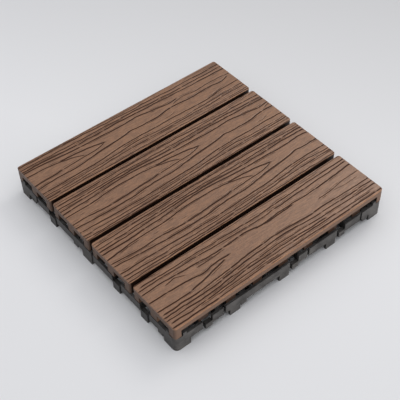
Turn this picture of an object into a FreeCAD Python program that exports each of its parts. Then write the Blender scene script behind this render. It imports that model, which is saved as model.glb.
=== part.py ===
import FreeCAD, Part
import Sketcher
import math
import os
import re

# Interlocking deck tile: four wood composite slats screwed from below
# to one moulded plastic base that clicks to its neighbours.
# All sizes are in millimetres. x runs along the slats from the left end,
# y runs across them from the front edge and z runs up from the ground.

doc = FreeCAD.newDocument("deck_tile")

# Driving sizes
sheet = doc.addObject("Spreadsheet::Sheet", "Sizes")
driving_sizes = [
    # slats
    ("slat_count", 4),
    ("slat_length", 300),
    ("slat_width", 72),
    ("slat_gap", 4),
    ("slat_thickness", 18),
    ("channel_depth", 8),
    ("edge_leg", 10),
    ("middle_leg", 11),
    ("end_pad", 8.5),
    ("cross_cut", 24),
    ("cross_cut_count", 8),
    ("side_rebate", 2.5),
    ("slat_corner_round", 3),
    ("slat_edge_round", 1.2),
    # base: rim and ribs
    ("foot_height", 9.5),
    ("rim_height", 11.5),
    ("rim_wall", 3),
    ("rib_wall", 2),
    ("cross_rib_count", 13),
    ("cross_rib_margin", 10),
    # base: corners and feet
    ("corner_foot", 20),
    ("corner_round", 6),
    ("corner_web", 3),
    ("corner_ear_start", 10.5),
    ("corner_ear_width", 4.5),
    ("corner_ear_height", 4),
    ("foot_pitch", 70),
    ("rim_foot_width", 14),
    ("rim_foot_depth", 15),
    ("inner_foot_width", 14),
    ("foot_wall", 2.2),
    ("side_foot_place", 160),
    ("side_foot_width", 18),
    ("side_foot_depth", 6),
    # base: catches on the front and left sides, hooks on the other two
    ("front_catch_1", 44.5),
    ("front_catch_2", 166),
    ("front_catch_3", 237),
    ("front_catch_width", 9),
    ("front_catch_bottom", 5.5),
    ("side_catch_1", 54),
    ("side_catch_2", 104),
    ("side_catch_3", 229),
    ("side_catch_width", 12),
    ("catch_depth", 5),
    ("window_depth", 8),
    ("window_slot", 4),
    ("relief_slot", 3),
    ("front_relief_1", 65.5),
    ("front_relief_2", 185),
    ("front_relief_3", 266.5),
    ("side_relief_1", 148),
    ("side_relief_2", 260),
    ("hook_thickness", 3.5),
    ("hook_lug_height", 3),
    ("hook_lug_wall", 2.2),
    ("hook_margin", 0.5),
    ("hook_clearance", 0.3),
    # base: stiffening blocks on the rim
    ("front_block_1", 92),
    ("front_block_2", 274),
    ("front_block_width", 8),
    ("side_block_1", 26),
    ("side_block_2", 182),
    ("side_block_3", 269.5),
    ("side_block_width", 8),
    ("block_bottom", 5),
    # screws
    ("screws_per_slat", 2),
    ("screw_pad_step", 6),
    ("screw_shank", 3.4),
    ("screw_head", 7.2),
    ("screw_head_height", 2.2),
    ("screw_length", 14),
    ("screw_clearance", 0.3),
    ("screw_recess_width", 1),
    ("screw_recess_span", 4),
    ("screw_recess_depth", 1.3),
    ("screw_seat", 4),
    ("boss_wall", 1.8),
    ("pilot_fit", 0.1),
    ("pilot_spare", 1),
]
for row, (alias, number) in enumerate(driving_sizes, start=1):
    sheet.set(f"A{row}", alias)
    sheet.set(f"B{row}", str(number))
    sheet.setAlias(f"B{row}", alias)
doc.recompute()

# Lengths that follow from the driving sizes
slat_pitch = "(slat_width + slat_gap)"
tile_width = "(slat_count * slat_width + (slat_count - 1) * slat_gap)"
base_height = "(foot_height + rim_height)"
channel_width = "((slat_width - 2 * edge_leg - middle_leg) / 2)"
pad_length = "((slat_length - 2 * end_pad - cross_cut_count * cross_cut) / (cross_cut_count - 1))"
pad_pitch = f"({pad_length} + cross_cut)"
cross_rib_pitch = "((slat_length - 2 * cross_rib_margin) / (cross_rib_count - 1))"
long_rib_pitch = f"({slat_pitch} / 3)"
hook_start = "(slat_gap + catch_depth + hook_clearance)"
hook_reach = f"({hook_start} + hook_lug_wall)"
window_sill = f"({base_height} - window_depth)"
screw_first = f"(end_pad + cross_cut + {pad_length} / 2)"
screw_seat_height = f"({base_height} - screw_seat)"
screw_pitch = f"(screw_pad_step * {pad_pitch})"
screw_well = "(screw_head + 2 * screw_clearance)"
boss_width = f"({screw_well} + 2 * boss_wall)"


def sized(text):
    """The same expression with each size read from the sheet."""
    return re.sub(r"[a-z]\w+", lambda word: "Sizes." + word.group(), text)


def new_body(name, right="0", back="0", up="0"):
    """A body whose own origin stands at a place in the tile."""
    body = doc.addObject("PartDesign::Body", name)
    body.Label = name
    middle_x = sized(f"{right} - (slat_length + {hook_reach}) / 2")
    middle_y = sized(f"{back} - ({tile_width} + {hook_reach}) / 2")
    body.setExpression("Placement.Base.x", middle_x)
    body.setExpression("Placement.Base.y", middle_y)
    body.setExpression("Placement.Base.z", sized(up))
    return body


def origin_part(body, role):
    return next(item for item in body.Origin.OriginFeatures if item.Role == role)


def new_sketch(body, name, plane="XY_Plane", offset="0"):
    sketch = body.newObject("Sketcher::SketchObject", name)
    sketch.AttachmentSupport = [(origin_part(body, plane), "")]
    sketch.MapMode = "FlatFace"
    sketch.setExpression("AttachmentOffset.Base.z", sized(offset))
    return sketch


def value_of(text):
    return float(sheet.evalExpression(text))


def place_point(sketch, line, x, y, end=1):
    """Hold one end of a line at two distances from the sketch's origin."""
    for kind, distance in (("DistanceX", x), ("DistanceY", y)):
        constraint = Sketcher.Constraint(kind, -1, 1, line, end, value_of(distance))
        number = sketch.addConstraint(constraint)
        sketch.setExpression(f".Constraints[{number}]", sized(distance))


def outline(sketch, corners):
    """A closed outline of straight lines through the corners."""
    first = sketch.GeometryCount
    count = len(corners)
    start_points = [FreeCAD.Vector(1 + turn, 1 + turn * turn, 0) for turn in range(count)]
    for turn in range(count):
        line = Part.LineSegment(start_points[turn], start_points[(turn + 1) % count])
        sketch.addGeometry(line, False)
    for turn in range(count):
        joined = Sketcher.Constraint(
            "Coincident", first + turn, 2, first + (turn + 1) % count, 1)
        sketch.addConstraint(joined)
    for turn, (x, y) in enumerate(corners):
        place_point(sketch, first + turn, x, y)


def rectangle(sketch, left, right, low, high):
    outline(sketch, [(left, low), (right, low), (right, high), (left, high)])


def circle(sketch, x, y, diameter):
    number = sketch.addGeometry(Part.Circle(FreeCAD.Vector(1, 1, 0), FreeCAD.Vector(0, 0, 1), 1), False)
    for kind, distance in (("DistanceX", x), ("DistanceY", y)):
        constraint = sketch.addConstraint(Sketcher.Constraint(kind, -1, 1, number, 3, 1.0))
        sketch.setExpression(f".Constraints[{constraint}]", sized(distance))
    constraint = sketch.addConstraint(Sketcher.Constraint("Diameter", number, 2.0))
    sketch.setExpression(f".Constraints[{constraint}]", sized(diameter))


def corner_waste(sketch, x, y, to_x, to_y, radius):
    """What rounding takes off a square corner: two straight sides and an arc.

    The piece lies from the corner in the directions to_x and to_y, each 1 or -1.
    """
    tip = FreeCAD.Vector(value_of(x), value_of(y), 0)
    reach = value_of(radius)
    beside = tip + FreeCAD.Vector(to_x, 0, 0) * reach
    above = tip + FreeCAD.Vector(0, to_y, 0) * reach
    nearest = tip + FreeCAD.Vector(to_x, to_y, 0) * reach * (1 - math.sqrt(0.5))
    level = sketch.addGeometry(Part.LineSegment(tip, beside), False)
    steep = sketch.addGeometry(Part.LineSegment(above, tip), False)
    arc = sketch.addGeometry(Part.Arc(beside, nearest, above), False)
    starts_beside = sketch.getPoint(arc, 1).distanceToPoint(beside) < reach / 2
    arc_beside, arc_above = (1, 2) if starts_beside else (2, 1)
    sketch.addConstraint(Sketcher.Constraint("Coincident", steep, 2, level, 1))
    sketch.addConstraint(Sketcher.Constraint("Coincident", level, 2, arc, arc_beside))
    sketch.addConstraint(Sketcher.Constraint("Coincident", steep, 1, arc, arc_above))
    place_point(sketch, level, x, y)
    place_point(sketch, level, f"{x} + {to_x} * {radius}", y, end=2)
    place_point(sketch, steep, x, f"{y} + {to_y} * {radius}")
    number = sketch.addConstraint(Sketcher.Constraint("Radius", arc, reach))
    sketch.setExpression(f".Constraints[{number}]", sized(radius))


def pad(body, sketch, length, merge_faces=True):
    """Raise a sketch upwards into solid."""
    feature = body.newObject("PartDesign::Pad", sketch.Name + "_pad")
    feature.Profile = sketch
    feature.Refine = merge_faces
    feature.setExpression("Length", sized(length))
    body.Tip = feature
    return feature


def pocket(body, sketch, depth, merge_faces=True):
    """Cut a sketch's shape upwards out of the body."""
    feature = body.newObject("PartDesign::Pocket", sketch.Name + "_pocket")
    feature.Profile = sketch
    feature.Reversed = True
    feature.Refine = merge_faces
    feature.setExpression("Length", sized(depth))
    body.Tip = feature
    return feature


def repeat(body, features, along_x=None, along_y=None):
    """Repeat features in rows, each way given as a count and a step."""
    pattern = body.newObject("PartDesign::LinearPattern", features[0].Name + "_rows")
    pattern.Originals = features
    rows = [(axis, row) for axis, row in (("X_Axis", along_x), ("Y_Axis", along_y)) if row]
    for suffix, (axis, (count, step)) in zip(("", "2"), rows):
        setattr(pattern, "Direction" + suffix, (origin_part(body, axis), [""]))
        pattern.setExpression("Occurrences" + suffix, sized(count))
        pattern.setExpression("Length" + suffix, sized(f"({count} - 1) * {step}"))
    body.Tip = pattern


def round_edges(body, name, radius, chosen):
    """Round every edge of the body so far that the test picks."""
    doc.recompute()
    shaped = body.Tip
    edges = [f"Edge{number}" for number, edge in enumerate(shaped.Shape.Edges, start=1) if chosen(edge)]
    feature = body.newObject("PartDesign::Fillet", name)
    feature.Base = (shaped, edges)
    feature.setExpression("Radius", sized(radius))
    body.Tip = feature


def is_upright(edge):
    ends = edge.BoundBox
    return ends.XLength < 0.01 and ends.YLength < 0.01 and ends.ZLength > 0.01


def stands_at(edge, places_x, places_y):
    """Whether an edge stands at one of the given places each way."""
    ends = edge.BoundBox
    at_x = any(abs(ends.XMin - place) < 0.01 for place in places_x)
    at_y = any(abs(ends.YMin - place) < 0.01 for place in places_y)
    return at_x and at_y


# Slats: an extruded composite plank with two channels along its underside,
# cut across eight times so that it stands on three rows of short pads. Its
# sides are rebated between the end pads, which puts the outer pads in shade.
# The die rounds its long top edges and a router rounds its corners
def build_slat(number):
    place = f"({number - 1} * {slat_pitch})"
    slat = new_body(f"slat_{number}", back=place, up=base_height)

    section = new_sketch(slat, f"slat_{number}_section", plane="YZ_Plane")
    first_channel_end = f"edge_leg + {channel_width}"
    outline(section, [
        ("0", "0"),
        ("edge_leg", "0"),
        ("edge_leg", "channel_depth"),
        (first_channel_end, "channel_depth"),
        (first_channel_end, "0"),
        (f"{first_channel_end} + middle_leg", "0"),
        (f"{first_channel_end} + middle_leg", "channel_depth"),
        ("slat_width - edge_leg", "channel_depth"),
        ("slat_width - edge_leg", "0"),
        ("slat_width", "0"),
        ("slat_width", "slat_thickness"),
        ("0", "slat_thickness"),
    ])
    pad(slat, section, "slat_length")
    top = sheet.slat_thickness - 0.01
    round_edges(
        slat, f"slat_{number}_long_edges", "slat_edge_round",
        lambda edge: edge.BoundBox.ZMin > top and edge.BoundBox.YLength < 0.01)

    corners = new_sketch(slat, f"slat_{number}_corners")
    for x, to_x in (("0", 1), ("slat_length", -1)):
        for y, to_y in (("0", 1), ("slat_width", -1)):
            corner_waste(corners, x, y, to_x, to_y, "slat_corner_round")
    pocket(slat, corners, "slat_thickness")

    rebates = new_sketch(slat, f"slat_{number}_rebates")
    for low, high in (("0", "side_rebate"), ("slat_width - side_rebate", "slat_width")):
        rectangle(rebates, "end_pad", "slat_length - end_pad", low, high)
    pocket(slat, rebates, "channel_depth")

    cut = new_sketch(slat, f"slat_{number}_cross_cut")
    rectangle(cut, "end_pad", "end_pad + cross_cut", "0", "slat_width")
    first_cut = pocket(slat, cut, "channel_depth")
    repeat(slat, [first_cut], along_x=("cross_cut_count", pad_pitch))

    pilot = new_sketch(slat, f"slat_{number}_pilot_hole")
    circle(pilot, screw_first, "slat_width / 2", "screw_shank + 2 * pilot_fit")
    first_pilot = pocket(slat, pilot, "screw_length - screw_seat + pilot_spare")
    repeat(slat, [first_pilot], along_x=("screws_per_slat", screw_pitch))
    return slat


# Base: rim wall with a hollow rounded foot at each corner, whose ears hold
# the slats' end pads
def build_rim(base):
    rim = new_sketch(base, "rim", offset="foot_height")
    rectangle(rim, "0", "slat_length", "0", tile_width)
    rectangle(rim, "rim_wall", "slat_length - rim_wall", "rim_wall", f"{tile_width} - rim_wall")
    pad(base, rim, "rim_height")

    corner = new_sketch(base, "corner")
    rectangle(corner, "0", "corner_foot", "0", "corner_foot")
    first_corner = pad(base, corner, base_height)
    corner_rows = {
        "along_x": ("2", "slat_length - corner_foot"),
        "along_y": ("2", f"{tile_width} - corner_foot"),
    }
    repeat(base, [first_corner], **corner_rows)

    hollow = new_sketch(base, "corner_hollow")
    near = "rim_wall"
    far = "(corner_foot - foot_wall)"
    for left, right in ((near, far), (f"slat_length - {far}", f"slat_length - {near}")):
        for low, high in ((near, far), (f"{tile_width} - {far}", f"{tile_width} - {near}")):
            rectangle(hollow, left, right, low, high)
    pocket(base, hollow, f"{base_height} - corner_web")

    length = sheet.slat_length
    width = sheet.slat_count * sheet.slat_width + (sheet.slat_count - 1) * sheet.slat_gap
    wall = sheet.rim_wall
    round_edges(
        base, "outer_corners", "corner_round",
        lambda edge: is_upright(edge) and stands_at(edge, (0, length), (0, width)))
    round_edges(
        base, "inner_corners", "corner_round - rim_wall",
        lambda edge: is_upright(edge) and stands_at(edge, (wall, length - wall), (wall, width - wall)))

    ears = new_sketch(base, "corner_ears", offset=base_height)
    near = "corner_ear_start"
    far = "(corner_ear_start + corner_ear_width)"
    for left, right in ((near, far), (f"slat_length - {far}", f"slat_length - {near}")):
        rectangle(ears, left, right, "0", "rim_wall")
        rectangle(ears, left, right, f"{tile_width} - rim_wall", tile_width)
    for low, high in ((near, far), (f"{tile_width} - {far}", f"{tile_width} - {near}")):
        rectangle(ears, "0", "rim_wall", low, high)
        rectangle(ears, "slat_length - rim_wall", "slat_length", low, high)
    pad(base, ears, "corner_ear_height")


# Base: feet under the rim and under the lattice
def build_feet(base):
    # three ribs joined by a wall at the right, open to the left
    rim_foot = new_sketch(base, "rim_foot")
    left = "slat_length / 2 - foot_pitch - rim_foot_width / 2"
    right = "slat_length / 2 - foot_pitch + rim_foot_width / 2"
    middle_low = "rim_foot_depth / 2 - foot_wall / 2"
    middle_high = "rim_foot_depth / 2 + foot_wall / 2"
    inner_right = f"{right} - foot_wall"
    outline(rim_foot, [
        (left, "0"),
        (right, "0"),
        (right, "rim_foot_depth"),
        (left, "rim_foot_depth"),
        (left, "rim_foot_depth - foot_wall"),
        (inner_right, "rim_foot_depth - foot_wall"),
        (inner_right, middle_high),
        (left, middle_high),
        (left, middle_low),
        (inner_right, middle_low),
        (inner_right, "rim_wall"),
        (left, "rim_wall"),
    ])
    first_rim_foot = pad(base, rim_foot, "foot_height")
    repeat(
        base, [first_rim_foot],
        along_x=("3", "foot_pitch"), along_y=("2", f"{tile_width} - rim_foot_depth"))

    # a shallow trough open to the inside
    side_foot = new_sketch(base, "side_foot")
    low = "side_foot_place - side_foot_width / 2"
    high = "side_foot_place + side_foot_width / 2"
    outline(side_foot, [
        ("0", low),
        ("side_foot_depth", low),
        ("side_foot_depth", f"{low} + foot_wall"),
        ("rim_wall", f"{low} + foot_wall"),
        ("rim_wall", f"{high} - foot_wall"),
        ("side_foot_depth", f"{high} - foot_wall"),
        ("side_foot_depth", high),
        ("0", high),
    ])
    outline(side_foot, [
        ("slat_length", low),
        ("slat_length - side_foot_depth", low),
        ("slat_length - side_foot_depth", f"{low} + foot_wall"),
        ("slat_length - rim_wall", f"{low} + foot_wall"),
        ("slat_length - rim_wall", f"{high} - foot_wall"),
        ("slat_length - side_foot_depth", f"{high} - foot_wall"),
        ("slat_length - side_foot_depth", high),
        ("slat_length", high),
    ])
    pad(base, side_foot, "foot_height")

    # square tubes under the crossings of the ribs
    inner_foot = new_sketch(base, "inner_foot")
    foot_x = "slat_length / 2 - foot_pitch"
    foot_y = "slat_width / 2"
    half = "inner_foot_width / 2"
    rectangle(
        inner_foot, f"{foot_x} - {half}", f"{foot_x} + {half}", f"{foot_y} - {half}", f"{foot_y} + {half}")
    rectangle(
        inner_foot,
        f"{foot_x} - {half} + foot_wall", f"{foot_x} + {half} - foot_wall",
        f"{foot_y} - {half} + foot_wall", f"{foot_y} + {half} - foot_wall")
    first_inner_foot = pad(base, inner_foot, "foot_height")
    repeat(
        base, [first_inner_foot],
        along_x=("3", "foot_pitch"), along_y=("slat_count", slat_pitch))


# Base: catches in the front and left sides. Each is a block under a window
# in the rim, beside a slot that lets the rim spring
def build_catches(base):
    front = [f"front_catch_{number}" for number in (1, 2, 3)]
    side = [f"side_catch_{number}" for number in (1, 2, 3)]

    front_blocks = new_sketch(base, "front_catch_blocks", offset="front_catch_bottom")
    windows = new_sketch(base, "catch_windows", offset=window_sill)
    slots = new_sketch(base, "catch_slots", offset="foot_height")
    for place in front:
        left = f"{place} - front_catch_width / 2"
        right = f"{place} + front_catch_width / 2"
        rectangle(front_blocks, left, right, "0", "catch_depth")
        rectangle(windows, f"{left} - window_slot", right, "0", "rim_wall")
        rectangle(slots, f"{left} - window_slot", left, "0", "rim_wall")

    side_posts = new_sketch(base, "side_catch_posts")
    for place in side:
        low = f"{place} - side_catch_width / 2"
        high = f"{place} + side_catch_width / 2"
        rectangle(side_posts, "0", "catch_depth", low, high)
        rectangle(windows, "0", "rim_wall", f"{low} - window_slot", high)
        rectangle(slots, "0", "rim_wall", f"{low} - window_slot", low)

    half = "relief_slot / 2"
    for number in (1, 2, 3):
        place = f"front_relief_{number}"
        rectangle(slots, f"{place} - {half}", f"{place} + {half}", "0", "rim_wall")
    for number in (1, 2):
        place = f"side_relief_{number}"
        rectangle(slots, "0", "rim_wall", f"{place} - {half}", f"{place} + {half}")

    pad(base, front_blocks, f"{window_sill} - front_catch_bottom")
    pad(base, side_posts, window_sill)
    pocket(base, windows, "window_depth")
    pocket(base, slots, "rim_height")


# Base: hooks on the back and right sides, which click over a neighbour's catches
def build_hooks(base):
    arms = new_sketch(base, "hook_arms", offset=f"{window_sill} + hook_margin")
    lugs = new_sketch(base, "hook_lugs", offset=f"{window_sill} + hook_margin - hook_lug_height")
    for number in (1, 2, 3):
        half = "(front_catch_width / 2 - hook_margin)"
        left = f"front_catch_{number} - {half}"
        right = f"front_catch_{number} + {half}"
        rectangle(arms, left, right, f"{tile_width} - rim_wall / 2", f"{tile_width} + {hook_reach}")
        rectangle(lugs, left, right, f"{tile_width} + {hook_start}", f"{tile_width} + {hook_reach}")
        half = "(side_catch_width / 2 - hook_margin)"
        low = f"side_catch_{number} - {half}"
        high = f"side_catch_{number} + {half}"
        rectangle(arms, "slat_length - rim_wall / 2", f"slat_length + {hook_reach}", low, high)
        rectangle(lugs, f"slat_length + {hook_start}", f"slat_length + {hook_reach}", low, high)
    pad(base, arms, "hook_thickness")
    pad(base, lugs, "hook_lug_height")


# Base: blocks that stiffen the rim between the catches
def build_blocks(base):
    blocks = new_sketch(base, "rim_blocks", offset="block_bottom")
    for place in ("front_block_1", "front_block_2"):
        half = "front_block_width / 2"
        rectangle(blocks, f"{place} - {half}", f"{place} + {half}", "0", "catch_depth")
    for place in ("side_block_1", "side_block_2", "side_block_3"):
        half = "side_block_width / 2"
        rectangle(blocks, "0", "catch_depth", f"{place} - {half}", f"{place} + {half}")
    pad(base, blocks, f"{base_height} - block_bottom")


# Base: lattice of ribs inside the rim. Faces that line up are merged once
# all ribs of a row are in, which keeps the build short
def build_lattice(base):
    cross_rib = new_sketch(base, "cross_rib", offset="foot_height")
    rectangle(
        cross_rib, "cross_rib_margin - rib_wall / 2", "cross_rib_margin + rib_wall / 2",
        "rim_wall / 2", f"{tile_width} - rim_wall / 2")
    first_cross_rib = pad(base, cross_rib, "rim_height", merge_faces=False)
    repeat(base, [first_cross_rib], along_x=("cross_rib_count", cross_rib_pitch))

    # one long rib lies under the middle leg of each slat, with two more each side
    long_rib = new_sketch(base, "long_rib", offset="foot_height")
    first_long_rib = f"slat_width / 2 - {long_rib_pitch}"
    rectangle(
        long_rib, "rim_wall / 2", "slat_length - rim_wall / 2",
        f"{first_long_rib} - rib_wall / 2", f"{first_long_rib} + rib_wall / 2")
    first_long = pad(base, long_rib, "rim_height", merge_faces=False)
    repeat(base, [first_long], along_y=("3 * slat_count", long_rib_pitch))


# Base: bosses that take the screws, with wells for the heads cut from below
# once the ribs are in
def build_bosses(base):
    boss = new_sketch(base, "boss", offset="foot_height")
    half = f"{boss_width} / 2"
    rectangle(
        boss, f"{screw_first} - {half}", f"{screw_first} + {half}",
        f"slat_width / 2 - {half}", f"slat_width / 2 + {half}")
    first_boss = pad(base, boss, "rim_height")
    repeat(
        base, [first_boss],
        along_x=("screws_per_slat", screw_pitch), along_y=("slat_count", slat_pitch))


def drill_bosses(base):
    holes = new_sketch(base, "screw_holes", offset="foot_height")
    wells = new_sketch(base, "screw_wells", offset="foot_height")
    half = f"{screw_well} / 2"
    for slat in range(int(sheet.slat_count)):
        for screw in range(int(sheet.screws_per_slat)):
            x = f"{screw_first} + {screw} * {screw_pitch}"
            y = f"slat_width / 2 + {slat} * {slat_pitch}"
            circle(holes, x, y, "screw_shank + 2 * screw_clearance")
            rectangle(wells, f"{x} - {half}", f"{x} + {half}", f"{y} - {half}", f"{y} + {half}")
    pocket(base, wells, "rim_height - screw_seat", merge_faces=False)
    pocket(base, holes, "rim_height", merge_faces=False)


def build_base():
    base = new_body("base_grid")
    base.AllowCompound = True
    build_rim(base)
    build_catches(base)
    build_hooks(base)
    build_blocks(base)
    build_feet(base)
    build_bosses(base)
    build_lattice(base)
    drill_bosses(base)
    return base


# Screws: round heads with a cross recess, driven up through the bosses
def build_screws():
    screws = new_body("screws", right=screw_first, back="slat_width / 2", up=screw_seat_height)
    screws.AllowCompound = True

    profile = new_sketch(screws, "screw_profile", plane="XZ_Plane")
    outline(profile, [
        ("0", "-screw_head_height"),
        ("screw_head / 2", "-screw_head_height"),
        ("screw_head / 2", "0"),
        ("screw_shank / 2", "0"),
        ("screw_shank / 2", "screw_length"),
        ("0", "screw_length"),
    ])
    turned = screws.newObject("PartDesign::Revolution", "screw_turned")
    turned.Profile = profile
    turned.ReferenceAxis = (origin_part(screws, "Z_Axis"), [""])
    turned.Angle = 360
    screws.Tip = turned

    recess = new_sketch(screws, "screw_recess", offset="-screw_head_height")
    long_half = "screw_recess_span / 2"
    short_half = "screw_recess_width / 2"
    outline(recess, [
        (f"-{long_half}", f"-{short_half}"),
        (f"-{short_half}", f"-{short_half}"),
        (f"-{short_half}", f"-{long_half}"),
        (short_half, f"-{long_half}"),
        (short_half, f"-{short_half}"),
        (long_half, f"-{short_half}"),
        (long_half, short_half),
        (short_half, short_half),
        (short_half, long_half),
        (f"-{short_half}", long_half),
        (f"-{short_half}", short_half),
        (f"-{long_half}", short_half),
    ])
    cut = pocket(screws, recess, "screw_recess_depth")
    repeat(
        screws, [turned, cut],
        along_x=("screws_per_slat", screw_pitch), along_y=("slat_count", slat_pitch))
    return screws


parts = [build_slat(number) for number in range(1, int(sheet.slat_count) + 1)]
parts.append(build_base())
parts.append(build_screws())
doc.recompute()

for item in doc.Objects:
    if "Invalid" in item.State or "Error" in item.State:
        raise RuntimeError(f"{item.Name} could not be built")
for body in parts:
    if body.Shape.isNull() or not body.Shape.isValid():
        raise RuntimeError(f"{body.Label} has no sound solid")

os.makedirs("parts", exist_ok=True)
for body in parts:
    body.Shape.exportStep(f"parts/{body.Label}.step")
    print(body.Label, len(body.Shape.Solids), "solids,", round(body.Shape.Volume), "mm3")
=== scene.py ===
import math

import bmesh
import bpy
import numpy as np
from mathutils import Matrix, Vector


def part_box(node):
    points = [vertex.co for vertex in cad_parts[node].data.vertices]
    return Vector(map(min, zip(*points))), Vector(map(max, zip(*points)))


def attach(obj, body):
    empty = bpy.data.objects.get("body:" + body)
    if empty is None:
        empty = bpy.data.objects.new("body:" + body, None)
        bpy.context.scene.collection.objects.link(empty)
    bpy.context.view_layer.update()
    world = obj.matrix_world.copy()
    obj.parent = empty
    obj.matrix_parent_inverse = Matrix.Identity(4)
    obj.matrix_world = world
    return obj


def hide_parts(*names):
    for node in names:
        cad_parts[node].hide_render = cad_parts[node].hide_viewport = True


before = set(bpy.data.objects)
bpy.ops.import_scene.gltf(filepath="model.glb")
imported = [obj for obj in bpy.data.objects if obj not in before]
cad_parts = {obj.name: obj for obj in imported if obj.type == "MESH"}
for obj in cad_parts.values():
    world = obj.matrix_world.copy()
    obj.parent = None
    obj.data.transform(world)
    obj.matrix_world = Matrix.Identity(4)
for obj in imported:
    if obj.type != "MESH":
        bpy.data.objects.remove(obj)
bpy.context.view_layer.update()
mm = 0.001

# The base is one moulding in charcoal polypropylene, filled with chalk so that it
# stays dull. It carries everything else: the slats lie on its ribs and the
# screws come up through its bosses.


def new_material(name):
    """A material whose node tree holds only its shader and output."""
    material = bpy.data.materials.new(name)
    material.use_nodes = True
    tree = material.node_tree
    return material, tree, tree.nodes["Principled BSDF"]


def add_node(tree, kind, **settings):
    """A new shader node with its settings."""
    node = tree.nodes.new("ShaderNode" + kind)
    for name, value in settings.items():
        setattr(node, name, value)
    return node


def noise_of(tree, place, scale, detail=3.0, rough=0.55):
    """A noise texture read at a place socket, in turns a metre."""
    node = add_node(tree, "TexNoise")
    node.inputs["Scale"].default_value = scale
    node.inputs["Detail"].default_value = detail
    node.inputs["Roughness"].default_value = rough
    tree.links.new(place, node.inputs["Vector"])
    return node.outputs["Fac"]


def stretched(tree, place, stretch):
    """The place with each axis scaled, for streaks."""
    node = add_node(tree, "Mapping")
    node.inputs["Scale"].default_value = stretch
    tree.links.new(place, node.inputs["Vector"])
    return node.outputs["Vector"]


def between(tree, factor, low, high, low_end=0.0, high_end=1.0):
    """The factor's span from low to high, remapped to two end values."""
    node = add_node(tree, "MapRange")
    node.clamp = True
    node.inputs["From Min"].default_value = low
    node.inputs["From Max"].default_value = high
    node.inputs["To Min"].default_value = low_end
    node.inputs["To Max"].default_value = high_end
    tree.links.new(factor, node.inputs["Value"])
    return node.outputs["Result"]


def mixed(tree, factor, first, second):
    """A mix of two colours, each a tuple or a socket."""
    node = add_node(tree, "Mix", data_type="RGBA")
    for socket, colour in ((node.inputs[6], first), (node.inputs[7], second)):
        if isinstance(colour, tuple):
            socket.default_value = (*colour, 1)
        else:
            tree.links.new(colour, socket)
    tree.links.new(factor, node.inputs[0])
    return node.outputs[2]


def bumped(tree, height, strength, distance, normal=None):
    """A normal bent by a height, on top of another normal if one is given."""
    node = add_node(tree, "Bump")
    node.inputs["Strength"].default_value = strength
    node.inputs["Distance"].default_value = distance
    tree.links.new(height, node.inputs["Height"])
    if normal is not None:
        tree.links.new(normal, node.inputs["Normal"])
    return node.outputs["Normal"]


charcoal, tree, shader = new_material("charcoal_moulding")
place = add_node(tree, "TexCoord").outputs["Object"]
cloud = noise_of(tree, place, 60.0)
flow = noise_of(tree, stretched(tree, place, (1.0, 1.0, 6.0)), 160.0)
# painted sheen: random lighter clouds and streaks in the colour stand in for the moulding's uneven sheen
painted_sheen_tone = mixed(tree, between(tree, cloud, 0.35, 0.65), (0.024, 0.022, 0.021), (0.062, 0.058, 0.055))
painted_sheen_streaks = mixed(tree, between(tree, flow, 0.55, 0.8), painted_sheen_tone, (0.085, 0.080, 0.076))
tree.links.new(painted_sheen_streaks, shader.inputs["Base Color"])
tree.links.new(between(tree, cloud, 0.3, 0.7, 0.38, 0.52), shader.inputs["Roughness"])
fine = noise_of(tree, place, 2600.0, 2.0)
tree.links.new(bumped(tree, fine, 0.25, 0.0003), shader.inputs["Normal"])
shader.inputs["Specular IOR Level"].default_value = 0.22
for material_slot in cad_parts["base_grid"].material_slots:
    material_slot.material = charcoal

# The screws are zinc plated steel with round heads and a cross recess, driven
# from below through the bosses into each slat's middle leg.

zinc, tree, shader = new_material("zinc_plate")
place = add_node(tree, "TexCoord").outputs["Object"]
cloud = noise_of(tree, place, 900.0)
plate = mixed(tree, between(tree, cloud, 0.3, 0.7), (0.52, 0.53, 0.55), (0.66, 0.66, 0.64))
tree.links.new(plate, shader.inputs["Base Color"])
tree.links.new(between(tree, cloud, 0.3, 0.7, 0.25, 0.42), shader.inputs["Roughness"])
shader.inputs["Metallic"].default_value = 1.0
for material_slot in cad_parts["screws"].material_slots:
    material_slot.material = zinc

# The slats are planks of wood flour in polyethylene, extruded from one die,
# embossed on top by a hot roller with open grain, and cut across underneath so
# that each stands on three rows of pads. Screws from below hold them.

low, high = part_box("slat_1")
set_in = 0.5  # the planks lie this far inside their solids, for gaps of full width
slat_length = (high.x - low.x) / mm - 2 * set_in
slat_width = (high.y - low.y) / mm - 2 * set_in
slat_top = high.z / mm
slat_bottom = low.z / mm
channel_depth = 10.0
channel_top = slat_bottom + channel_depth
edge_leg = 10.0
middle_leg = 11.0
end_pad = 8.5
cross_cut = 24.0
cross_cut_count = 8
side_rebate = 2.5
corner_round = 3.0
side_round = 0.7
end_round = 0.35
rim_drop = 1.6  # how far the grid's rim reaches down the sides
columns = 220
rows = 400
end_steps = [0, 0.12, 0.35, 1.1]
side_steps = [0, 0.09, 0.25, 0.5, 0.8, 1.2]
touching = 0.01


def graded(length, count, edge_steps):
    """Places along a length with closer ones near both ends."""
    middle = np.linspace(edge_steps[-1], length - edge_steps[-1], count + 1 - 2 * (len(edge_steps) - 1))
    near = np.array(edge_steps[:-1])
    return np.concatenate([near, middle, (length - near)[::-1]])


def places_of(mesh):
    """The places of a mesh's vertices, as one array for each axis."""
    flat = np.empty(len(mesh.vertices) * 3)
    mesh.vertices.foreach_get("co", flat)
    return flat.reshape(-1, 3).T


def select_faces(mesh, chosen):
    """In edit mode, select the faces whose centre the test picks."""
    shape = bmesh.from_edit_mesh(mesh)
    shape.select_mode = {"FACE"}
    for face in shape.faces:
        face.select_set(chosen(face.calc_center_median()))
    shape.select_flush_mode()
    bmesh.update_edit_mesh(mesh)


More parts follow.
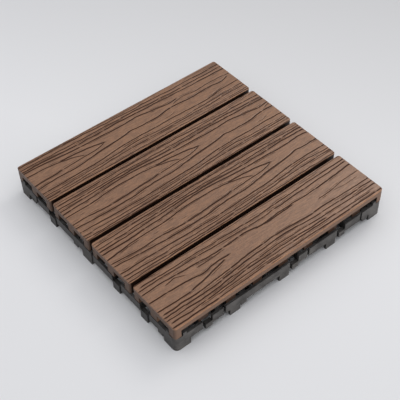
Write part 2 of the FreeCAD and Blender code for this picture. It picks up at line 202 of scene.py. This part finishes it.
def make_blank():
    """A plain slat with its front left corner at the origin, in millimetres."""
    bpy.ops.object.select_all(action="DESELECT")
    bpy.ops.mesh.primitive_grid_add(x_subdivisions=columns, y_subdivisions=rows, size=2)
    blank = bpy.context.object
    mesh = blank.data
    x, y, _ = places_of(mesh)
    column = np.rint((x + 1) / 2 * columns).astype(int)
    row = np.rint((y + 1) / 2 * rows).astype(int)
    x = graded(slat_length, columns, end_steps)[column]
    y = graded(slat_width, rows, side_steps)[row]

    # turn each square corner of the grid into a quarter of a disc
    for corner_x, inward_x in ((0, 1), (slat_length, -1)):
        for corner_y, inward_y in ((0, 1), (slat_width, -1)):
            side = (corner_x + inward_x * corner_round - x) * inward_x
            rise = (corner_y + inward_y * corner_round - y) * inward_y
            inside = (side > 0) & (rise > 0)
            squeeze = np.ones(len(x))
            reach = np.hypot(side[inside], rise[inside])
            squeeze[inside] = np.maximum(side[inside], rise[inside]) / reach
            x = np.where(inside, corner_x + inward_x * (corner_round - side * squeeze), x)
            y = np.where(inside, corner_y + inward_y * (corner_round - rise * squeeze), y)
    mesh.vertices.foreach_set("co", np.stack([x, y, np.full(len(x), slat_top)], 1).ravel())

    # the sides, in two steps down to the channels' top, and a face to close them
    bpy.ops.object.mode_set(mode="EDIT")
    bpy.ops.mesh.select_mode(type="EDGE")
    bpy.ops.mesh.select_all(action="DESELECT")
    bpy.ops.mesh.select_non_manifold(
        use_wire=False, use_multi_face=False, use_non_contiguous=False, use_verts=False)
    bpy.ops.mesh.extrude_edges_move(TRANSFORM_OT_translate={"value": (0, 0, -rim_drop)})
    bpy.ops.mesh.extrude_edges_move(
        TRANSFORM_OT_translate={"value": (0, 0, channel_top - slat_top + rim_drop)})
    bpy.ops.mesh.edge_face_add()

    # the underside, cut at every leg and pad, with the pads drawn down
    pad_length = (slat_length - 2 * end_pad - cross_cut_count * cross_cut) / (cross_cut_count - 1)
    cuts = [end_pad + number * (cross_cut + pad_length) for number in range(cross_cut_count)]
    lines_x = [place for start in cuts for place in (start, start + cross_cut)]
    middle_low = (slat_width - middle_leg) / 2
    legs = [(0, edge_leg), (middle_low, middle_low + middle_leg), (slat_width - edge_leg, slat_width)]
    lines_y = [side_rebate, edge_leg, middle_low]
    lines_y += [slat_width - place for place in lines_y]

    def on_underside(centre):
        return abs(centre.z - channel_top) < touching

    for place in lines_x:
        select_faces(mesh, on_underside)
        bpy.ops.mesh.bisect(plane_co=(place, 0, 0), plane_no=(1, 0, 0))
    for place in lines_y:
        select_faces(mesh, on_underside)
        bpy.ops.mesh.bisect(plane_co=(0, place, 0), plane_no=(0, 1, 0))

    def on_pad(centre):
        over_cut = any(start < centre.x < start + cross_cut for start in cuts)
        on_leg = any(first < centre.y < last for first, last in legs)
        near_side = min(centre.y, slat_width - centre.y) < side_rebate
        near_end = min(centre.x, slat_length - centre.x) < end_pad
        return on_underside(centre) and on_leg and not over_cut and (near_end or not near_side)

    select_faces(mesh, on_pad)
    bpy.ops.mesh.extrude_region_move(TRANSFORM_OT_translate={"value": (0, 0, -channel_depth)})
    bpy.ops.mesh.select_all(action="SELECT")
    bpy.ops.mesh.normals_make_consistent(inside=False)
    bpy.ops.object.mode_set(mode="OBJECT")
    return blank


blank = make_blank()

# The roller's grain, as lines of (along, across) places in millimetres, each
# with its strength. Slats 2 to 4 show three stretches of the same turn, in
# which the rings close in an eye, and slat 1 shows another part of the roller.
pit_depth = 0.45
pit_wall = 1.5
roller_first = -300.0
roller_last = 400.0
wave_length = 14
wave_height = 0.4
tremor_length = 5
tremor_height = 0.22
stroke_length = (24, 75)
stroke_overlap = (5, 9)
stroke_overrun = 3
stroke_half_width = (1.05, 1.6)
stroke_power = (0.8, 1.0)
stroke_taper = 6.0
stroke_end_width = 0.6
stroke_wander = 0.3
pore_every = 18
pore_margin = 30
pore_start_margin = 25
pore_length = (12, 40)
pore_half_width = (0.5, 0.9)
pore_power = (0.2, 0.7)
pore_offset = (1.5, 2.6)
long_turn = [
    (0.7, [(-234, 68.5), (-135, 69.6), (-55, 69), (10, 69), (52, 67.6), (110, 70.8), (150, 71.4)]),
    (0.6, [(140, 67.6), (194, 68.4)]),
    (0.9, [(-234, 64.5), (-160, 66.3), (-100, 67.6), (-40, 67.4), (40, 65), (90, 64), (194, 63.1)]),
    (0.9, [(-234, 59.5), (-150, 61.3), (-100, 62.4), (-25, 61), (20, 61.3), (85, 59.2), (194, 57.6)]),
    (1.0, [(-234, 55), (-190, 56), (-100, 58.9), (-31, 56.8), (34, 56.9), (74, 56), (125, 53.8),
           (194, 52.2)]),
    (1.0, [(-234, 50.5), (-200, 50.8), (-135, 53.6), (-95, 55.6), (-68, 53.8), (-41, 51.5), (-9, 50.7),
           (29, 49.1), (54, 50.2), (64, 48.8), (98, 44.1), (111, 45.4)]),
    (1.0, [(-234, 41.2), (-200, 44.8), (-160, 45), (-120, 48.6), (-96, 48.2), (-60, 44.7), (-44, 40.4),
           (-33, 35.8)]),
    (1.0, [(-62, 46), (-41, 45.2), (-16, 42.2), (-6, 39.8), (1, 38.3)]),
    (1.0, [(-234, 34), (-204, 31.8), (-178, 32), (-125, 29.6), (-98, 31.2), (-78, 31.6), (-68, 33),
           (-41, 33.9), (-19, 35.1), (-4, 38.2)]),
    (1.0, [(-234, 29.3), (-199, 26.6), (-148, 23.4), (-106, 23.7), (-80, 25.8), (-51, 25.7), (-34, 28),
           (-6, 31.1), (19, 33), (31, 35.2), (44, 33.8), (74, 34), (92, 36.3), (125, 34.7), (160, 35.6),
           (177, 34.4), (187, 37.5)]),
    (0.95, [(-234, 17.2), (-190, 17), (-140, 15.3), (-60, 15.5), (-20, 17.5), (14, 20.2), (66, 20.5),
            (114, 19.8), (144, 19.4), (160, 21.7), (194, 23)]),
    (0.85, [(-234, 12.6), (-180, 10.8), (-100, 10.1), (-51, 11.2), (9, 13.8), (28, 15.2), (60, 13.1),
            (134, 13.9), (194, 15.8)]),
    (0.85, [(-234, 7.4), (-164, 6.2), (-107, 6), (-40, 7.3), (9, 9.4), (80, 9.6), (160, 10.5), (194, 11.8)]),
    (0.7, [(30, 7.8), (104, 6.4), (160, 4.8), (194, 5)]),
    (0.8, [(-234, 3.6), (-106, 2.6), (40, 3.1), (80, 2.6), (194, 2.4)]),
    (0.6, [(77, 24.4), (90, 25.7), (94, 27.3)]),
    (0.8, [(101, 39), (109, 41.6), (122, 43.2), (134, 41.5), (166, 41.9), (194, 40.3)]),
    (0.5, [(-174, 38.5), (-166, 38.5)]),
    (0.5, [(-138, 36.7), (-129, 36.7)]),
    (0.5, [(-89, 35.7), (-79, 35.7)]),
    (0.5, [(-186, 35.2), (-176, 35.2)]),
]
short_turn = [
    (0.7, [(0, 70), (70, 70), (125, 68.7), (140, 69.6), (210, 69), (300, 69.8)]),
    (0.9, [(5, 64.6), (55, 64), (105, 62.6), (165, 60.9), (215, 62.6), (300, 63.3)]),
    (0.9, [(0, 61.9), (30, 61.3), (65, 59.8), (105, 57.9), (163, 56.2), (218, 57.5), (300, 59.8)]),
    (1.0, [(0, 54.8), (15, 55.7), (60, 53.2), (115, 50.9), (135, 51.5), (168, 48), (185, 49.8),
           (228, 49.3), (300, 52.8)]),
    (0.9, [(150, 48.2), (177, 47.6), (205, 48.4)]),
    (0.8, [(27, 50.4), (40, 51.8), (52, 47.9)]),
    (0.8, [(67, 47.5), (80, 47.5), (105, 48.8)]),
    (1.0, [(0, 42.6), (18, 42.1), (45, 40.4), (72, 38.4), (78, 39.6), (106, 39.6)]),
    (1.0, [(0, 27.9), (45, 27.6), (62, 29.8), (82, 34), (97, 37.1)]),
    (1.0, [(3, 21.8), (60, 21.8), (95, 24.4), (138, 27.3), (170, 27.5), (212, 24.6), (237, 25.1),
           (260, 23.6), (300, 22.8)]),
    (0.95, [(0, 17.9), (65, 17.6), (105, 20.7), (160, 22.6), (215, 19.8), (300, 17.9)]),
    (0.9, [(0, 13.2), (55, 12.6), (100, 15.1), (150, 16.3), (220, 14.3), (300, 12.9)]),
    (0.9, [(3, 8.4), (60, 8.4), (100, 11.3), (175, 11.9), (220, 10.9)]),
    (0.8, [(62, 6.1), (105, 7.9), (145, 8.4), (210, 8), (255, 6.9), (285, 7.1)]),
    (0.9, [(0, 3.4), (60, 2.6), (130, 3.6), (220, 3.2), (300, 2.4)]),
    (0.8, [(232, 36.1), (252, 36.6), (265, 38.4), (298, 39)]),
    (0.6, [(255, 34.8), (270, 32.9), (290, 32.6)]),
]
# for each plank, its lines, where it begins along them and how far they lie over
roller = {
    "slat_1": (short_turn, 0, 0),
    "slat_2": (long_turn, -234, -1),
    "slat_3": (long_turn, -187.5, -2),
    "slat_4": (long_turn, -106, 0),
}


def smooth(part):
    """A ramp from 0 to 1 that starts and ends level."""
    part = np.clip(part, 0, 1)
    return part * part * (3 - 2 * part)


def curve(points, places):
    """How far across a smooth line through the points lies, at places along it."""
    along, across = np.array(points, float).T
    slope = np.gradient(across, along)
    index = np.clip(np.searchsorted(along, places) - 1, 0, len(along) - 2)
    step = along[index + 1] - along[index]
    part = np.clip((places - along[index]) / step, 0, 1)
    ease = smooth(part)
    bend = slope[index] * (1 - part) - slope[index + 1] * part
    return across[index] * (1 - ease) + across[index + 1] * ease + part * (1 - part) * step * bend


def ripple(rand, places, wavelength):
    """Smooth noise along the roller, from -1 to 1."""
    first = math.floor(roller_first / wavelength)
    levels = rand.uniform(-1, 1, math.ceil((roller_last - roller_first) / wavelength) + 2)
    position = places / wavelength - first
    index = position.astype(int)
    part = smooth(position - index)
    return levels[index] * (1 - part) + levels[index + 1] * part


def press_stroke(depth, x, y, points, start, end, offset, half_width, power):
    """Press one stroke into the face along part of a grain line, tapered to both ends."""
    near = (x > start) & (x < end)
    place = x[near]
    taper = smooth(np.minimum(place - start, end - place) / stroke_taper)
    away = np.abs(y[near] - curve(points, place) - offset)
    width = half_width * (stroke_end_width + (1 - stroke_end_width) * taper)
    depth[near] = np.maximum(depth[near], smooth(pit_wall - pit_wall * away / width) * taper * power)


def grain(x, y, lines, start, shift):
    """How deep the emboss is at each place, from 0 on the face to 1 in a pit."""
    along = x + start
    depth = np.zeros_like(x)
    for number, (strength, points) in enumerate(lines):
        rand = np.random.default_rng(len(lines) * 100 + number)
        wave = wave_height * ripple(rand, along, wave_length)
        tremor = tremor_height * ripple(rand, along, tremor_length)
        across = y - shift + wave + tremor
        first, last = points[0][0], points[-1][0]
        stroke = first - stroke_overrun
        while stroke < last:
            end = min(stroke + rand.uniform(*stroke_length), last + stroke_overrun)
            press_stroke(
                depth, along, across, points, stroke, end, rand.uniform(-stroke_wander, stroke_wander),
                rand.uniform(*stroke_half_width) * strength, strength * rand.uniform(*stroke_power))
            stroke = end - rand.uniform(*stroke_overlap) if end < last else last
        # fine pores that run beside the line
        for pore in range(int((last - first - pore_margin) / pore_every)):
            begin = rand.uniform(first, last - pore_start_margin)
            press_stroke(
                depth, along, across, points, begin, begin + rand.uniform(*pore_length),
                rand.choice([-1, 1]) * rand.uniform(*pore_offset), rand.uniform(*pore_half_width),
                rand.uniform(*pore_power))
    return depth


def product(tree, first, second):
    """Two sockets multiplied."""
    node = add_node(tree, "Math", operation="MULTIPLY")
    tree.links.new(first, node.inputs[0])
    tree.links.new(second, node.inputs[1])
    return node.outputs["Value"]


composite, tree, shader = new_material("embossed_composite")
place = add_node(tree, "TexCoord").outputs["Object"]
pit = add_node(tree, "Attribute", attribute_name="pit").outputs["Fac"]
cloud = noise_of(tree, place, 14.0)
streak = noise_of(tree, stretched(tree, place, (1.0, 7.0, 7.0)), 80.0, 4.0, 0.7)
speck = noise_of(tree, stretched(tree, place, (1.0, 2.0, 2.0)), 600.0, 3.0, 0.7)
face = mixed(tree, between(tree, cloud, 0.3, 0.7), (0.208, 0.094, 0.041), (0.250, 0.119, 0.054))
face = mixed(tree, between(tree, streak, 0.36, 0.62, 0.0, 0.9), face, (0.118, 0.052, 0.023))
face = mixed(tree, between(tree, speck, 0.48, 0.66, 0.0, 0.55), face, (0.275, 0.150, 0.082))
sunk = between(tree, pit, 0.12, 0.75)
face = mixed(tree, sunk, face, (0.036, 0.014, 0.007))
height = add_node(tree, "SeparateXYZ")
tree.links.new(place, height.inputs["Vector"])

# the sides keep the die's smooth skin, coloured darker than the face, partly as painted shade, and the sides
# in the joints are painted dark as shade
brushed = between(tree, height.outputs["Z"], (slat_top - 2.4) * mm, (slat_top - 1.2) * mm)
# painted shade, in part: below the brushed top the colour is darker than the face
skin_and_painted_shade = mixed(tree, brushed, (0.104, 0.061, 0.041), face)
# painted shade: the sides that face a neighbouring plank are coloured near black
painted_joint_shade = add_node(tree, "Attribute", attribute_name="painted_joint_shade").outputs["Fac"]
skin_and_painted_shade = mixed(tree, painted_joint_shade, skin_and_painted_shade, (0.022, 0.010, 0.006))

# painted shade: between the end pads, the pads below the channels' top are coloured dark, as the shade under
# the slats
painted_pad_shade = between(tree, height.outputs["Z"], (channel_top + 0.2) * mm, (channel_top - 0.2) * mm)
first_cut = low.x + end_pad * mm
last_cut = high.x - end_pad * mm
painted_pad_shade = product(tree, painted_pad_shade, between(tree, height.outputs["X"], first_cut, first_cut + 0.5 * mm))
painted_pad_shade = product(tree, painted_pad_shade, between(tree, height.outputs["X"], last_cut, last_cut - 0.5 * mm))
tree.links.new(mixed(tree, painted_pad_shade, skin_and_painted_shade, (0.024, 0.012, 0.007)), shader.inputs["Base Color"])

# the pits and the sides shine less than the face
tree.links.new(between(tree, streak, 0.3, 0.7, 0.38, 0.50), shader.inputs["Roughness"])
sheen = product(tree, between(tree, sunk, 0.0, 1.0, 0.6, 0.1), between(tree, brushed, 0.0, 1.0, 0.3, 1.0))
tree.links.new(sheen, shader.inputs["Specular IOR Level"])
combed = bumped(tree, streak, 0.15, 0.0004)
tree.links.new(bumped(tree, speck, 0.2, 0.0003, combed), shader.inputs["Normal"])


def add_layer(mesh, name, values):
    """A number for each vertex, which the material reads by its name."""
    layer = mesh.attributes.new(name, "FLOAT", "POINT")
    layer.data.foreach_set("value", values.astype(np.float32))


for name in ("slat_1", "slat_2", "slat_3", "slat_4"):
    slat = blank.copy()
    slat.data = blank.data.copy()
    slat.name = "plank_" + name[-1]
    slat.data.name = slat.name
    bpy.context.scene.collection.objects.link(slat)
    mesh = slat.data
    x, y, z = places_of(mesh)

    # how far each place lies inside the plank's outline, and how round the edge is there
    side = np.maximum(corner_round - np.minimum(x, slat_length - x), 0)
    rise = np.maximum(corner_round - np.minimum(y, slat_width - y), 0)
    inset = corner_round - np.hypot(side, rise)
    turn = np.arctan2(rise, side) / (math.pi / 2)
    edge_round = end_round + (side_round - end_round) * turn
    on_top = z > slat_top - touching
    into = np.clip(edge_round - inset, 0, edge_round)
    drop = edge_round - np.sqrt(np.maximum(edge_round ** 2 - into ** 2, 0))
    pits = grain(x, y, *roller[name])
    worn = np.clip(inset / side_steps[-1], 0.5, 1)  # pits are shallower at the edge
    sunk_by = np.minimum(drop + pit_depth * pits * worn, rim_drop - 0.3)
    z = z - np.where(on_top, sunk_by, 0)
    # painted shade in the joints: the long sides that face a neighbouring plank
    front_joint_painted_shade = (y < side_steps[1] / 2) & (name != "slat_1")
    back_joint_painted_shade = (y > slat_width - side_steps[1] / 2) & (name != "slat_4")
    add_layer(mesh, "pit", pits * on_top)
    add_layer(mesh, "painted_joint_shade", front_joint_painted_shade | back_joint_painted_shade)

    corner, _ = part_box(name)
    x = x + corner.x / mm + set_in
    y = y + corner.y / mm + set_in
    mesh.vertices.foreach_set("co", (np.stack([x, y, z], 1) * mm).ravel())
    mesh.materials.clear()
    mesh.materials.append(composite)
    slat.select_set(True)
    bpy.context.view_layer.objects.active = slat
    bpy.ops.object.shade_smooth_by_angle(angle=math.radians(40))
    slat.select_set(False)
    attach(slat, "root")
    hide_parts(name)
bpy.data.objects.remove(blank)

# The floor is pale studio paper under the tile, with painted shade that greys it
# behind the tile, where less of the studio's light would fall.

floor_size = 12
bpy.ops.object.select_all(action="DESELECT")
bpy.ops.mesh.primitive_plane_add(size=floor_size, location=(0, 0, 0))
floor = bpy.context.object
floor.name = "floor"
paper, tree, shader = new_material("studio_paper")
behind = add_node(tree, "VectorMath", operation="DOT_PRODUCT")
tree.links.new(add_node(tree, "TexCoord").outputs["Object"], behind.inputs[0])
behind.inputs[1].default_value = (0.94, 0.50, 0)
# painted shade: the paper's colour greys towards the back
painted_falloff = between(tree, behind.outputs["Value"], 0.05, 0.52)
tree.links.new(
    mixed(tree, painted_falloff, (0.735, 0.735, 0.74), (0.52, 0.52, 0.525)), shader.inputs["Base Color"])
shader.inputs["Roughness"].default_value = 0.9
floor.data.materials.append(paper)

# Soft studio light: a sky that is bright overhead and dim near the ground, a warm
# panel high on the right, another there that only adds sheen, and a low wide
# one that lights the tile's front side and leaves the floor as it is.

world = bpy.data.worlds.new("soft_sky")
bpy.context.scene.world = world
world.use_nodes = True
sky = world.node_tree
dome = sky.nodes["Background"]
dome.inputs["Color"].default_value = (0.96, 0.97, 1.0, 1)
rise = add_node(sky, "SeparateXYZ")
sky.links.new(add_node(sky, "TexCoord").outputs["Generated"], rise.inputs["Vector"])
strength = add_node(sky, "Mix", data_type="FLOAT")
sky.links.new(add_node(sky, "LightPath").outputs["Is Camera Ray"], strength.inputs[0])
sky.links.new(between(sky, rise.outputs["Z"], 0.2, 1.0, 0.15, 1.50), strength.inputs[2])
strength.inputs[3].default_value = 0.6
sky.links.new(strength.outputs[0], dome.inputs["Strength"])


def add_panel(name, place, target, size, power, colour=(1, 1, 1)):
    """A soft rectangular lamp at a place, turned to its target."""
    light = bpy.data.lights.new(name, "AREA")
    light.shape = "RECTANGLE"
    light.size, light.size_y = size
    light.energy = power
    light.color = colour
    panel = bpy.data.objects.new(name, light)
    bpy.context.scene.collection.objects.link(panel)
    panel.location = place
    panel.rotation_euler = (Vector(target) - Vector(place)).to_track_quat("-Z", "Y").to_euler()
    return panel


warm = (1.0, 0.975, 0.94)
add_panel("key_panel", (1.1, 0.15, 1.05), (0.1, 0, 0), (0.6, 0.6), 4, warm)
sheen_panel = add_panel("sheen_panel", (1.1, 0.1, 1.05), (0.1, 0, 0), (0.6, 0.6), 5, warm)
sheen_panel.visible_diffuse = False
front_panel = add_panel("front_panel", (1.5, -3.3, 0.36), (0, 0, 0), (2.6, 0.6), 145)
front_panel.visible_glossy = False
left_out = bpy.data.collections.new("left_out_by_front_panel")
left_out.objects.link(floor)
left_out.collection_objects[0].light_linking.link_state = "EXCLUDE"
front_panel.light_linking.receiver_collection = left_out

# The camera looks down on the tile's near corner from the front left, turned and
# placed so that the tile's corners fall where the photograph has them.

azimuth = math.radians(-37.62)
elevation = math.radians(47.40)
roll = math.radians(-2.02)
camera_distance = 1.0449
camera_target = Vector((-0.0236, -0.0335, 0.037))
focal_pixels = 929.26
picture_pixels = 400.0
back = Vector((
    math.sin(azimuth) * math.cos(elevation), -math.cos(azimuth) * math.cos(elevation), math.sin(elevation)))
level = Vector((math.cos(azimuth), math.sin(azimuth), 0))
upright = back.cross(level)
right = math.cos(roll) * level + math.sin(roll) * upright
up = math.cos(roll) * upright - math.sin(roll) * level
lens = bpy.data.cameras.new("camera")
lens.sensor_width = 36.0
lens.lens = focal_pixels / picture_pixels * lens.sensor_width
lens.clip_start = 0.01
camera = bpy.data.objects.new("camera", lens)
bpy.context.scene.collection.objects.link(camera)
turned = Matrix((right, up, back)).transposed().to_4x4()
camera.matrix_world = Matrix.Translation(camera_target + camera_distance * back) @ turned
bpy.context.scene.camera = camera
bpy.context.scene.view_settings.view_transform = "Standard"
